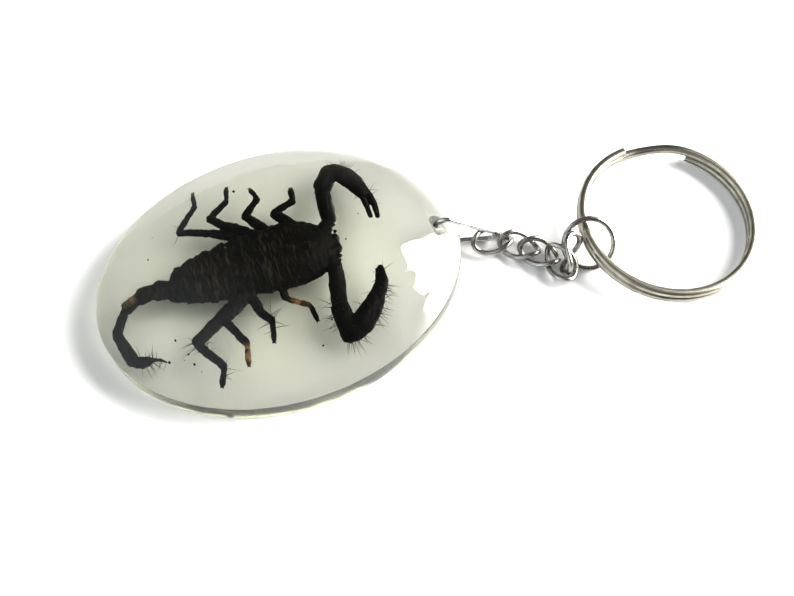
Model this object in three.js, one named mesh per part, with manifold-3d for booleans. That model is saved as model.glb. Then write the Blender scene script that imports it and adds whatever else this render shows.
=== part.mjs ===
// Keychain: a scorpion cast in a clear resin oval, with a wire ring, five chain links,
// a jump ring and a split ring for keys. Millimetres, +Z up, lying on a table.
// The origin is the middle of the oval's flat underside, and +X points along the oval
// to the end with the hole.
import * as THREE from "three";
import { mergeVertices } from "three/addons/utils/BufferGeometryUtils.js";
import Module from "manifold-3d";

const wasm = await Module();
wasm.setup();

// Resin oval
const OVAL_LENGTH = 59.2;
const OVAL_WIDTH = 45.2;
const WALL_HEIGHT = 4;
const DOME_HEIGHT = 7.5;
const DOME_FULLNESS = 2.4;
const FOOT_BEVEL = 0.35;
const POUR_GAP = 0.3;
const HOLE_DIAMETER = 2.4;
const HOLE_PLACE = [26, -1];
// The wire ring under the rim lifts the hole end off the table by this much.
const RIM_LIFT = 1.15;

// Scorpion. The trunk is given as half widths and the places along it where they lie.
const POCKET_CLEARANCE = 0.35;
const SPECIMEN_PLACE = [-3.4, 0.3];
const SPECIMEN_TURN = -3.5;
const BODY_FLATNESS = 0.42;
const POCKET_FLATNESS = 0.46;
const PLATES = [[1.9, -12.8], [3.1, -11.2], [4.1, -9], [4.8, -6.4], [5.3, -3.8], [5.7, -1.2],
  [6, 1.6], [6, 4.2]];
const HEAD_SHIELD = [[5.7, 5.2], [5.1, 8.6], [4.2, 11.2], [2.6, 12.8]];

// Wire ring in the hole
const HOLE_RING_WIRE = 0.9;
const HOLE_RING_TURN = -15.8;
const HOLE_RING_CORNERS = [
  { x: 8.6, y: 2.1, radius: 1.3 },
  { x: 1.5, y: 5.8, radius: 1.6 },
  { x: 1.5, y: 2.05, radius: 1.6 },
];

// Chain. Each link lies at its middle, turned about the upright, with its nose raised
// and its sides rolled.
const LINK_WIRE = 0.85;
const LINK_LENGTH = 7.5;
const LINK_WIDTH = 5.2;
const LINK_TWIST = -46;
const LINKS = [
  { place: [34.66, -4.5, 1.7], turn: -4.8, nose: -11.4, roll: 2.7 },
  { place: [38.63, -6.7, 1.6], turn: -33.4, nose: -6.1, roll: 8.8 },
  { place: [41.2, -8.99, 1.65], turn: -40.9, nose: -3.7, roll: 13.9 },
  { place: [43.64, -11.99, 2.08], turn: -75.8, nose: -12, roll: 33.3 },
  { place: [45.48, -11.41, 2.92], turn: 55.4, nose: 32.3, roll: -100.1 },
];

// Jump ring
const JUMP_RING_DIAMETER = 9.1;
const JUMP_RING_WIRE = 0.9;
const JUMP_RING_PLACE = [49.06, -10.77, 2.93];
const JUMP_RING_TURN = -14.5;
const JUMP_RING_LEAN = 35.8;

// Split ring
const SPLIT_RING_DIAMETER = 30;
const STRIP_WIDTH = 1.4;
const STRIP_HEIGHT = 1.25;
const STRIP_CHAMFER = 0.25;
const COIL_GAP = 0.1;
const SPLIT_RING_PLACE = [63.5, -10.4];
const SPLIT_RING_LIFT = 1.8;
const COIL_START = 96;
const COIL_SWEEP = 674;
const CROSSOVER_START = 411;
const CROSSOVER_SWEEP = 38;

const halfLength = OVAL_LENGTH / 2;
const halfWidth = OVAL_WIDTH / 2;
const restingEdge = halfLength - FOOT_BEVEL;
const resinTilt = Math.asin(RIM_LIFT / (restingEdge + halfLength));

const radians = THREE.MathUtils.degToRad;

function toSolid(geometry) {
  const bare = geometry.clone();
  bare.deleteAttribute("normal");
  bare.deleteAttribute("uv");
  const merged = mergeVertices(bare, 1e-4);
  const vertProperties = new Float32Array(merged.getAttribute("position").array);
  const triVerts = new Uint32Array(merged.getIndex().array);
  return new wasm.Manifold(new wasm.Mesh({ numProp: 3, vertProperties, triVerts }));
}

function toGeometry(solid) {
  const mesh = solid.getMesh();
  const geometry = new THREE.BufferGeometry();
  geometry.setAttribute("position", new THREE.BufferAttribute(mesh.vertProperties, 3));
  geometry.setIndex(new THREE.BufferAttribute(mesh.triVerts, 1));
  geometry.computeVertexNormals();
  return geometry;
}

function node(name, geometry, colour, roughness, metalness) {
  const material = new THREE.MeshStandardMaterial({ color: colour, roughness, metalness });
  const mesh = new THREE.Mesh(geometry, material);
  mesh.name = name;
  return mesh;
}

// Height of the domed face above the underside at a share of the way to the rim.
function domeHeight(share) {
  return WALL_HEIGHT + DOME_HEIGHT * (1 - share ** DOME_FULLNESS);
}

// An outline of radius and height turned round +Z and stretched to the oval.
function ovalTurning(outline) {
  const points = outline.map(([radius, height]) => new THREE.Vector2(radius, height));
  const geometry = new THREE.LatheGeometry(points, 36);
  geometry.rotateX(Math.PI / 2);
  geometry.scale(halfLength / halfWidth, 1, 1);
  return geometry;
}

function holeSolid() {
  const tall = 2 * (WALL_HEIGHT + DOME_HEIGHT);
  const cylinder = new THREE.CylinderGeometry(HOLE_DIAMETER / 2, HOLE_DIAMETER / 2, tall, 20);
  cylinder.rotateX(Math.PI / 2);
  cylinder.translate(HOLE_PLACE[0], HOLE_PLACE[1], 0);
  return toSolid(cylinder);
}

// The lower pour: flat underside, small bevel and the straight side wall.
function resinBase(pocket) {
  const top = WALL_HEIGHT - POUR_GAP / 2;
  const outline = [
    [0, 0],
    [halfWidth - FOOT_BEVEL, 0],
    [halfWidth, FOOT_BEVEL],
    [halfWidth, top],
    [0, top],
  ];
  return toGeometry(toSolid(ovalTurning(outline)).subtract(holeSolid()).subtract(pocket));
}

// The upper pour: the low dome over the specimen.
function resinDome(pocket) {
  const bottom = WALL_HEIGHT + POUR_GAP / 2;
  const shares = [0.95, 0.87, 0.75, 0.6, 0.42, 0.2];
  const outline = [[0, bottom], [halfWidth, bottom], [halfWidth * 0.995, domeHeight(0.99)]];
  for (const share of shares) {
    outline.push([halfWidth * share, domeHeight(share)]);
  }
  outline.push([0, domeHeight(0)]);
  return toGeometry(toSolid(ovalTurning(outline)).subtract(holeSolid()).subtract(pocket));
}

// One swelling segment of a limb from one joint to the next, reaching a little past both.
function limbSegment(from, to, thickness, grow, sides) {
  const start = new THREE.Vector3(...from);
  const end = new THREE.Vector3(...to);
  const along = end.clone().sub(start);
  const radius = thickness / 2 + grow;
  const lap = 0.6 * radius;
  const length = along.length() + 2 * lap;
  const outline = [[0, 0], [0.94, 0.22], [0.88, 0.8], [0, 1]].map(
    ([across, way]) => new THREE.Vector2(across * radius, way * length - lap)
  );
  const geometry = new THREE.LatheGeometry(outline, sides);
  const turn = new THREE.Quaternion().setFromUnitVectors(
    new THREE.Vector3(0, 1, 0),
    along.normalize()
  );
  geometry.applyQuaternion(turn);
  geometry.translate(start.x, start.y, start.z);
  return toSolid(geometry);
}

function limb(joints, thicknesses, grow, sides) {
  const segments = [];
  for (let step = 0; step < thicknesses.length; step += 1) {
    segments.push(limbSegment(joints[step], joints[step + 1], thicknesses[step], grow, sides));
  }
  return segments;
}

// A solid turned round the trunk's length from points of half width and place, and flattened.
function trunkSolid(outline, flatness, grow, sides) {
  const first = outline[0];
  const last = outline[outline.length - 1];
  const points = [new THREE.Vector2(0, first[1] - 0.6 - grow)];
  for (const [width, place] of outline) {
    points.push(new THREE.Vector2(width + grow, place));
  }
  points.push(new THREE.Vector2(0, last[1] + 0.4 + grow));
  const geometry = new THREE.LatheGeometry(points, sides);
  geometry.rotateZ(-Math.PI / 2);
  geometry.scale(1, 1, flatness);
  return toSolid(geometry);
}

// The trunk: seven overlapping back plates, then the shield of the head end.
function trunk(sides) {
  const outline = [];
  for (let index = 0; index < PLATES.length - 1; index += 1) {
    outline.push([PLATES[index][0] * 0.94, PLATES[index][1]]);
    outline.push([PLATES[index + 1][0], PLATES[index + 1][1] - 0.15]);
  }
  return trunkSolid(outline.concat(HEAD_SHIELD), BODY_FLATNESS, 0, sides);
}

// Joints of every limb from the trunk outwards, seen from above with the head at +X.
const TAIL = [[-12, 0, 0], [-15.2, 0.2, 0], [-18.1, 0, 0.1], [-21.2, -0.5, 0], [-23, -4.2, 0],
  [-21.1, -9.7, 0], [-18.6, -10.1, 0.1], [-16.3, -11, 0]];
const TAIL_THICKNESS = [2, 2, 1.8, 1.4, 1.4, 1.7, 0.6];

const LEGS = [
  [[8, 4, 0], [4.5, 8, 0.2], [8, 9.7, 0], [8.1, 11.7, 0]],
  [[3.5, 5, 0], [0.4, 8.7, 0.2], [2.9, 11.5, 0], [2, 13.5, 0]],
  [[1, 5, 0], [-5.1, 9.5, 0.2], [-1.5, 12.9, 0], [-1.5, 15.2, 0]],
  [[-1, 5, 0], [-10.1, 8.9, 0.2], [-6.6, 13.4, 0], [-7.3, 16.5, 0]],
  [[3, -4, 0], [3.2, -6.2, 0.2], [6.4, -8, 0], [6.9, -10.3, 0]],
  [[0, -4.5, 0], [-1.4, -5.6, 0], [0.4, -8.8, 0.2], [-0.3, -11.9, 0]],
  [[-1, -4.5, 0], [-6.1, -7, 0.2], [-3.7, -11.4, 0], [-4.6, -14.5, 0]],
  [[-2, -4, 0], [-6.4, -5.6, 0], [-10.9, -9.1, 0.2], [-8, -13.8, 0], [-9.4, -16.7, 0]],
];
const LEG_THICKNESS = [1.3, 1, 0.8, 0.7];

const ARMS = [
  [[10.5, 2.5, 0], [12.5, 4.2, 0], [12.3, 10.6, 0.1], [15.6, 15.4, 0]],
  [[10.5, -1.2, 0], [12, -2.4, 0], [10.1, -9.2, 0.1], [10.9, -14.6, 0]],
];
const ARM_THICKNESS = [1.9, 2.3, 2.4];

// Each claw: the swollen hand, then a fixed finger and a movable one.
const CLAWS = [
  {
    hand: [[15.2, 15.3, 0], [18.9, 9.6, 0]],
    thickness: 3,
    fingers: [
      [[18.5, 10.2, 0], [20, 6.6, 0], [19.6, 3.7, 0]],
      [[18.1, 10, 0], [18.9, 6.6, 0], [18.9, 3.5, 0]],
    ],
  },
  {
    hand: [[10.9, -15, 0], [15.3, -10.2, 0]],
    thickness: 3.7,
    fingers: [
      [[14.6, -10.9, 0], [17.6, -7.9, 0], [18, -4.4, 0]],
      [[14.4, -10.2, 0], [16.9, -7.9, 0], [17.5, -4.6, 0]],
    ],
  },
];

// The whole specimen as one solid. Grown by the clearance, it shapes its own pocket.
function specimen(trunkShape, grow, limbSides) {
  let solids = [trunkShape];
  solids = solids.concat(limb(TAIL, TAIL_THICKNESS, grow, limbSides));
  for (const joints of LEGS) {
    const thicknesses = LEG_THICKNESS.slice(0, joints.length - 1);
    solids = solids.concat(limb(joints, thicknesses, grow, limbSides));
  }
  for (const joints of ARMS) {
    solids = solids.concat(limb(joints, ARM_THICKNESS, grow, limbSides));
  }
  for (const claw of CLAWS) {
    solids = solids.concat(limb(claw.hand, [claw.thickness], grow, limbSides));
    for (const finger of claw.fingers) {
      solids = solids.concat(limb(finger, [1.2, 0.8], grow, limbSides));
    }
  }
  for (const side of [-0.9, 0.9]) {
    solids = solids.concat(limb([[11.6, side, 0], [13.8, side, 0]], [1.5], grow, limbSides));
  }
  const whole = solids.reduce((sum, next) => sum.add(next));
  const placed = toGeometry(whole);
  placed.rotateZ(radians(SPECIMEN_TURN));
  placed.translate(SPECIMEN_PLACE[0], SPECIMEN_PLACE[1], WALL_HEIGHT);
  return placed;
}

// A closed wire bent along a flat closed curve, given as a function of the way round.
function closedWire(curveAt, wire, sides, steps) {
  const geometry = new THREE.TorusGeometry(1, wire / 2, sides, steps);
  const position = geometry.getAttribute("position");
  for (let index = 0; index < position.count; index += 1) {
    const x = position.getX(index);
    const y = position.getY(index);
    const way = (Math.atan2(y, x) / (2 * Math.PI) + 1) % 1;
    const outward = Math.hypot(x, y) - 1;
    const here = curveAt(way);
    const ahead = curveAt((way + 1e-4) % 1).sub(curveAt((way + 1 - 1e-4) % 1)).normalize();
    position.setX(index, here.x + ahead.y * outward);
    position.setY(index, here.y - ahead.x * outward);
  }
  return geometry;
}

// Outline of the hole ring: three rounded corners joined by straight wire.
function holeRingCurve() {
  const path = new THREE.Path();
  const corners = HOLE_RING_CORNERS;
  const count = corners.length;
  const leaving = corners.map((corner, index) => {
    const next = corners[(index + 1) % count];
    const gap = Math.hypot(next.x - corner.x, next.y - corner.y);
    const heading = Math.atan2(next.y - corner.y, next.x - corner.x);
    return heading - Math.PI / 2 + Math.asin((next.radius - corner.radius) / gap);
  });
  corners.forEach((corner, index) => {
    const arriving = leaving[(index + count - 1) % count];
    path.absarc(corner.x, corner.y, corner.radius, arriving, leaving[index], false);
  });
  path.closePath();
  return (way) => path.getPointAt(way);
}

function holeRing() {
  const geometry = closedWire(holeRingCurve(), HOLE_RING_WIRE, 8, 26);
  geometry.rotateX(Math.PI / 2);
  return geometry;
}

// A curb-chain link: an oval of wire twisted along its length, so that the next lies flat in it.
function chainLink() {
  const long = (LINK_LENGTH - LINK_WIRE) / 2;
  const wide = (LINK_WIDTH - LINK_WIRE) / 2;
  const oval = (way) => {
    const angle = way * 2 * Math.PI;
    return new THREE.Vector2(long * Math.cos(angle), wide * Math.sin(angle));
  };
  const geometry = closedWire(oval, LINK_WIRE, 8, 14);
  const position = geometry.getAttribute("position");
  for (let index = 0; index < position.count; index += 1) {
    const y = position.getY(index);
    const z = position.getZ(index);
    const twist = (radians(LINK_TWIST) * position.getX(index)) / long;
    position.setY(index, y * Math.cos(twist) - z * Math.sin(twist));
    position.setZ(index, y * Math.sin(twist) + z * Math.cos(twist));
  }
  return geometry;
}

// The split ring's strip: nearly two turns, stepping down by one strip at the crossover.
class CoilPath extends THREE.Curve {
  getPoint(way, target = new THREE.Vector3()) {
    const degrees = COIL_START + way * COIL_SWEEP;
    const step = (STRIP_HEIGHT + COIL_GAP) / 2;
    const crossed = THREE.MathUtils.smoothstep(
      degrees,
      CROSSOVER_START,
      CROSSOVER_START + CROSSOVER_SWEEP
    );
    const radius = (SPLIT_RING_DIAMETER - STRIP_WIDTH) / 2;
    const angle = radians(degrees);
    return target.set(radius * Math.cos(angle), radius * Math.sin(angle), step - 2 * step * crossed);
  }
}

function splitRing() {
  const tall = STRIP_HEIGHT / 2;
  const wide = STRIP_WIDTH / 2;
  const section = new THREE.Shape();
  section.moveTo(tall, wide - STRIP_CHAMFER);
  section.lineTo(tall - STRIP_CHAMFER, wide);
  section.lineTo(STRIP_CHAMFER - tall, wide);
  section.lineTo(-tall, wide - STRIP_CHAMFER);
  section.lineTo(-tall, STRIP_CHAMFER - wide);
  section.lineTo(STRIP_CHAMFER - tall, -wide);
  section.lineTo(tall - STRIP_CHAMFER, -wide);
  section.lineTo(tall, STRIP_CHAMFER - wide);
  return new THREE.ExtrudeGeometry(section, {
    steps: 56,
    bevelEnabled: false,
    extrudePath: new CoilPath(),
  });
}

const keychain = new THREE.Group();
keychain.position.z = -restingEdge * Math.sin(resinTilt);

const resin = new THREE.Group();
resin.rotation.y = -resinTilt;
resin.position.z = restingEdge * Math.sin(resinTilt);
keychain.add(resin);

const smoothTrunk = PLATES.concat(HEAD_SHIELD);
const pocketTrunk = trunkSolid(smoothTrunk, POCKET_FLATNESS, POCKET_CLEARANCE, 12);
const pocket = toSolid(specimen(pocketTrunk, POCKET_CLEARANCE, 5));
resin.add(node("resin_base", resinBase(pocket), 0xe4e6d8, 0.05, 0));
resin.add(node("resin_dome", resinDome(pocket), 0xe8eadc, 0.05, 0));
resin.add(node("scorpion", specimen(trunk(12), 0, 5), 0x17130f, 0.5, 0));

const holeRingNode = node("hole_ring", holeRing(), 0xb9b6ad, 0.25, 1);
holeRingNode.position.set(HOLE_PLACE[0], HOLE_PLACE[1], 0);
holeRingNode.rotation.z = radians(HOLE_RING_TURN);
keychain.add(holeRingNode);

LINKS.forEach((lie, index) => {
  const link = node(`chain_link_${index + 1}`, chainLink(), 0x8f8a80, 0.25, 1);
  link.position.set(...lie.place);
  link.rotation.set(radians(lie.roll), -radians(lie.nose), radians(lie.turn), "ZYX");
  keychain.add(link);
});

// The jump ring leans back from its near edge.
const jumpRing = node(
  "jump_ring",
  new THREE.TorusGeometry((JUMP_RING_DIAMETER - JUMP_RING_WIRE) / 2, JUMP_RING_WIRE / 2, 8, 24),
  0x77736b,
  0.25,
  1
);
jumpRing.position.set(...JUMP_RING_PLACE);
jumpRing.rotation.set(radians(JUMP_RING_LEAN), 0, radians(JUMP_RING_TURN), "ZYX");
keychain.add(jumpRing);

// The split ring lies on the table at its far side and on the jump ring at its near side.
const splitRingTilt = Math.asin(SPLIT_RING_LIFT / SPLIT_RING_DIAMETER);
const splitRingNode = node("split_ring", splitRing(), 0xa09a8c, 0.3, 1);
const coilHeight = STRIP_HEIGHT + COIL_GAP / 2;
splitRingNode.position.set(...SPLIT_RING_PLACE, coilHeight + SPLIT_RING_LIFT / 2);
splitRingNode.rotation.y = splitRingTilt;
keychain.add(splitRingNode);

export default keychain;
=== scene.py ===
import math
import bpy
import bmesh
from mathutils import Euler, Matrix, Vector, noise


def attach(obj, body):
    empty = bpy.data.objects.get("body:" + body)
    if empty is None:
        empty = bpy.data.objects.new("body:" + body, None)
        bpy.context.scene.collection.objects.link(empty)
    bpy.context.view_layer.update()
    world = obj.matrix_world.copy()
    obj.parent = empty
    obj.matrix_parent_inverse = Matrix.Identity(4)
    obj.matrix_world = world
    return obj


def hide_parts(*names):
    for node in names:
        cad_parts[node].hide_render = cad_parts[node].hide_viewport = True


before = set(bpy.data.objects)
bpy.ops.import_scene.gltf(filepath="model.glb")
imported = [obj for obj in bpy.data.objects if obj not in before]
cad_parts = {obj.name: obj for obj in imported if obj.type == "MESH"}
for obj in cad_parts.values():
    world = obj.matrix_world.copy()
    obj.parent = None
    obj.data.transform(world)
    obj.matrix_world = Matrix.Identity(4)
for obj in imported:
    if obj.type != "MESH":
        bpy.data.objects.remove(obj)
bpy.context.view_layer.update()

MM = 0.001

# The clear resin oval
# One polished casting of clear resin, flat below and domed above, with a straight side wall.
# The hole for the wire ring is drilled upright near one end, and the ring's wire under the
# rim lifts that end a little off the table.
OVAL_LENGTH = 59.2 * MM
OVAL_WIDTH = 45.2 * MM
WALL_HEIGHT = 4 * MM
DOME_HEIGHT = 7.5 * MM
DOME_FULLNESS = 2.4
FOOT_BEVEL = 0.35 * MM
OVAL_SIDES = 200
DOME_ROWS = 44
RIM_LIFT = 1.15 * MM
HOLE_RADIUS = 1.2 * MM
HOLE_PLACE = (26 * MM, -1 * MM)
half_length = OVAL_LENGTH / 2
half_width = OVAL_WIDTH / 2
resting_edge = half_length - FOOT_BEVEL
resin_tilt = math.asin(RIM_LIFT / (resting_edge + half_length))
table_height = -resting_edge * math.sin(resin_tilt)
in_resin = Matrix.Rotation(-resin_tilt, 4, "Y")


def new_piece(name, mesh, material, body="root"):
    """A finished mesh as a piece that rides on its body."""
    piece = bpy.data.objects.new(name, mesh)
    bpy.context.scene.collection.objects.link(piece)
    mesh.materials.clear()
    mesh.materials.append(material)
    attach(piece, body)
    return piece


def evaluated_mesh(holder):
    """The mesh that an object's modifiers make, as plain data, with the object taken away."""
    graph = bpy.context.evaluated_depsgraph_get()
    graph.update()
    mesh = bpy.data.meshes.new_from_object(holder.evaluated_get(graph))
    bpy.data.objects.remove(holder)
    return mesh


def scratch_object(name, mesh):
    holder = bpy.data.objects.new(name, mesh)
    bpy.context.scene.collection.objects.link(holder)
    return holder


def smooth(mesh, sharp_angle):
    mesh.shade_smooth()
    mesh.set_sharp_from_angle(angle=math.radians(sharp_angle))


def turned_oval(outline, sides):
    """An outline of shares and heights, turned round Z and stretched to the oval."""
    shape = bmesh.new()
    rings = []
    for share, height in outline:
        ring = []
        for step in range(sides):
            angle = 2 * math.pi * step / sides
            across = (half_length * share * math.cos(angle), half_width * share * math.sin(angle))
            ring.append(shape.verts.new((across[0], across[1], height)))
        rings.append(ring)
    for lower, upper in zip(rings, rings[1:]):
        for step in range(sides):
            after = (step + 1) % sides
            shape.faces.new((lower[step], lower[after], upper[after], upper[step]))
    shape.faces.new(list(reversed(rings[0])))
    top = shape.verts.new((0, 0, outline[-1][1]))
    for step in range(sides):
        shape.faces.new((rings[-1][step], rings[-1][(step + 1) % sides], top))
    return shape


def dome_height(share):
    return WALL_HEIGHT + DOME_HEIGHT * (1 - share ** DOME_FULLNESS)


def resin_outline():
    """Underside, rounded foot, side wall, softened rim and dome."""
    foot = FOOT_BEVEL / half_width
    outline = [(0.93, 0), (0.999 - foot, 0)]
    for step in range(5):
        angle = math.pi / 2 * step / 4
        outline.append((1 - foot + foot * math.sin(angle), FOOT_BEVEL * (1 - math.cos(angle))))
    outline.append((1, FOOT_BEVEL * 1.1))
    rim = 0.3 * MM
    outline.append((1, WALL_HEIGHT - rim * 1.1))
    outline.append((1, WALL_HEIGHT - rim))
    outline.append((0.9985, WALL_HEIGHT - 0.4 * rim))
    outline.append((0.9955, WALL_HEIGHT + 0.2 * rim))
    for row in range(1, DOME_ROWS):
        share = 0.99 * math.cos(math.pi / 2 * row / DOME_ROWS) ** 0.9
        outline.append((share, dome_height(share)))
    return outline


def drilled(mesh, name):
    """The casting with its upright hole."""
    drill = bmesh.new()
    tall = 8 * MM
    bmesh.ops.create_cone(
        drill,
        cap_ends=True,
        segments=64,
        radius1=HOLE_RADIUS,
        radius2=HOLE_RADIUS,
        depth=tall,
        matrix=Matrix.Translation((*HOLE_PLACE, tall / 2 - 1 * MM)),
    )
    drill_mesh = bpy.data.meshes.new("drill")
    drill.to_mesh(drill_mesh)
    drill_object = scratch_object("drill", drill_mesh)
    holder = scratch_object(name, mesh)
    cut = holder.modifiers.new("hole", "BOOLEAN")
    cut.object = drill_object
    cut.operation = "DIFFERENCE"
    cut.solver = "EXACT"
    result = evaluated_mesh(holder)
    bpy.data.objects.remove(drill_object)
    return result


def ground_walls(mesh):
    """Marks the frosted hole, the half polished side wall and the softened rim above it."""
    mask = mesh.attributes.new("ground", "FLOAT", "POINT")
    for index, vertex in enumerate(mesh.vertices):
        x, y, z = vertex.co
        if math.hypot(x - HOLE_PLACE[0], y - HOLE_PLACE[1]) < HOLE_RADIUS * 1.02:
            mask.data[index].value = 1.0
            continue
        share = math.hypot(x / half_length, y / half_width)
        if z > 0 and share > 0.9:
            mask.data[index].value = 0.45 * min((share - 0.9) / 0.07, 1)


def handling_marks_group():
    """Fine scattered scratches: a mask of where they are and a height to feed a bump."""
    group = bpy.data.node_groups.new("handling marks", "ShaderNodeTree")
    face = group.interface
    for name, value in (("Scale", 300.0), ("Stretch", 14.0), ("Amount", 0.5)):
        socket = face.new_socket(name, in_out="INPUT", socket_type="NodeSocketFloat")
        socket.default_value = value
    face.new_socket("Mask", in_out="OUTPUT", socket_type="NodeSocketFloat")
    face.new_socket("Height", in_out="OUTPUT", socket_type="NodeSocketFloat")
    nodes = group.nodes
    links = group.links
    given = nodes.new("NodeGroupInput")
    made = nodes.new("NodeGroupOutput")
    place = nodes.new("ShaderNodeTexCoord")
    warp = nodes.new("ShaderNodeMapping")
    warp.inputs["Rotation"].default_value = (0.3, 0.2, 0.9)
    links.new(place.outputs["Object"], warp.inputs["Vector"])
    long_way = nodes.new("ShaderNodeCombineXYZ")
    long_way.inputs["X"].default_value = 1
    links.new(given.outputs["Stretch"], long_way.inputs["Y"])
    links.new(given.outputs["Stretch"], long_way.inputs["Z"])
    stretched = nodes.new("ShaderNodeVectorMath")
    stretched.operation = "MULTIPLY"
    links.new(warp.outputs["Vector"], stretched.inputs[0])
    links.new(long_way.outputs["Vector"], stretched.inputs[1])
    lines = nodes.new("ShaderNodeTexNoise")
    lines.inputs["Detail"].default_value = 2
    links.new(stretched.outputs["Vector"], lines.inputs["Vector"])
    links.new(given.outputs["Scale"], lines.inputs["Scale"])
    fine = nodes.new("ShaderNodeMapRange")
    fine.inputs["From Min"].default_value = 0.62
    fine.inputs["From Max"].default_value = 0.72
    links.new(lines.outputs["Fac"], fine.inputs["Value"])
    where = nodes.new("ShaderNodeTexNoise")
    where.inputs["Scale"].default_value = 140
    links.new(place.outputs["Object"], where.inputs["Vector"])
    spread = nodes.new("ShaderNodeMapRange")
    spread.inputs["From Min"].default_value = 0.4
    spread.inputs["From Max"].default_value = 0.65
    links.new(where.outputs["Fac"], spread.inputs["Value"])
    both = nodes.new("ShaderNodeMath")
    both.operation = "MULTIPLY"
    links.new(fine.outputs["Result"], both.inputs[0])
    links.new(spread.outputs["Result"], both.inputs[1])
    amount = nodes.new("ShaderNodeMath")
    amount.operation = "MULTIPLY"
    links.new(both.outputs["Value"], amount.inputs[0])
    links.new(given.outputs["Amount"], amount.inputs[1])
    deep = nodes.new("ShaderNodeMath")
    deep.operation = "SUBTRACT"
    deep.inputs[0].default_value = 1
    links.new(amount.outputs["Value"], deep.inputs[1])
    links.new(amount.outputs["Value"], made.inputs["Mask"])
    links.new(deep.outputs["Value"], made.inputs["Height"])
    return group


def placed_marks(nodes, scale, stretch, amount):
    marks = nodes.new("ShaderNodeGroup")
    marks.node_tree = handling_marks
    marks.inputs["Scale"].default_value = scale
    marks.inputs["Stretch"].default_value = stretch
    marks.inputs["Amount"].default_value = amount
    return marks


def clear_resin_material():
    material = bpy.data.materials.new("clear casting resin")
    material.use_nodes = True
    nodes = material.node_tree.nodes
    links = material.node_tree.links
    surface = nodes["Principled BSDF"]
    surface.inputs["Base Color"].default_value = (1, 1, 1, 1)
    surface.inputs["Transmission Weight"].default_value = 1
    surface.inputs["IOR"].default_value = 1.5
    ground = nodes.new("ShaderNodeAttribute")
    ground.attribute_name = "ground"
    frost = nodes.new("ShaderNodeMapRange")
    frost.inputs["To Min"].default_value = 0.028
    frost.inputs["To Max"].default_value = 0.5
    links.new(ground.outputs["Fac"], frost.inputs["Value"])
    links.new(frost.outputs["Result"], surface.inputs["Roughness"])
    place = nodes.new("ShaderNodeTexCoord")
    swell = nodes.new("ShaderNodeTexNoise")
    swell.inputs["Scale"].default_value = 260
    swell.inputs["Detail"].default_value = 1
    links.new(place.outputs["Object"], swell.inputs["Vector"])
    swelling = nodes.new("ShaderNodeBump")
    swelling.inputs["Strength"].default_value = 1
    swelling.inputs["Distance"].default_value = 0.00009
    links.new(swell.outputs["Fac"], swelling.inputs["Height"])
    marks = placed_marks(nodes, 700, 22, 0.6)
    scratches = nodes.new("ShaderNodeBump")
    scratches.inputs["Strength"].default_value = 0.15
    scratches.inputs["Distance"].default_value = 0.00001
    links.new(marks.outputs["Height"], scratches.inputs["Height"])
    links.new(swelling.outputs["Normal"], scratches.inputs["Normal"])
    links.new(scratches.outputs["Normal"], surface.inputs["Normal"])
    tint = nodes.new("ShaderNodeVolumeAbsorption")
    tint.inputs["Color"].default_value = (0.93, 0.94, 0.82, 1)
    tint.inputs["Density"].default_value = 60
    links.new(tint.outputs["Volume"], nodes["Material Output"].inputs["Volume"])
    return material


handling_marks = handling_marks_group()
casting = turned_oval(resin_outline(), OVAL_SIDES)
casting_mesh = bpy.data.meshes.new("resin casting")
casting.to_mesh(casting_mesh)
resin_mesh = drilled(casting_mesh, "resin casting")
ground_walls(resin_mesh)
resin_mesh.transform(in_resin)
smooth(resin_mesh, 40)
resin = new_piece("resin_oval", resin_mesh, clear_resin_material())
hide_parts("resin_base", "resin_dome")


# The scorpion
# A whole dried specimen with a black, finely grained skin, its claw arms folded forward and
# its tail curled round to one side. It lies level in the middle of the casting.
SPECIMEN_PLACE = (-3.4 * MM, 0.3 * MM, 4 * MM)
SPECIMEN_TURN = math.radians(-3.5)
in_specimen = (
    in_resin @ Matrix.Translation(SPECIMEN_PLACE) @ Matrix.Rotation(SPECIMEN_TURN, 4, "Z")
)
BODY_FLATNESS = 0.42
SKIN_VOXEL = 0.15 * MM
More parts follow.
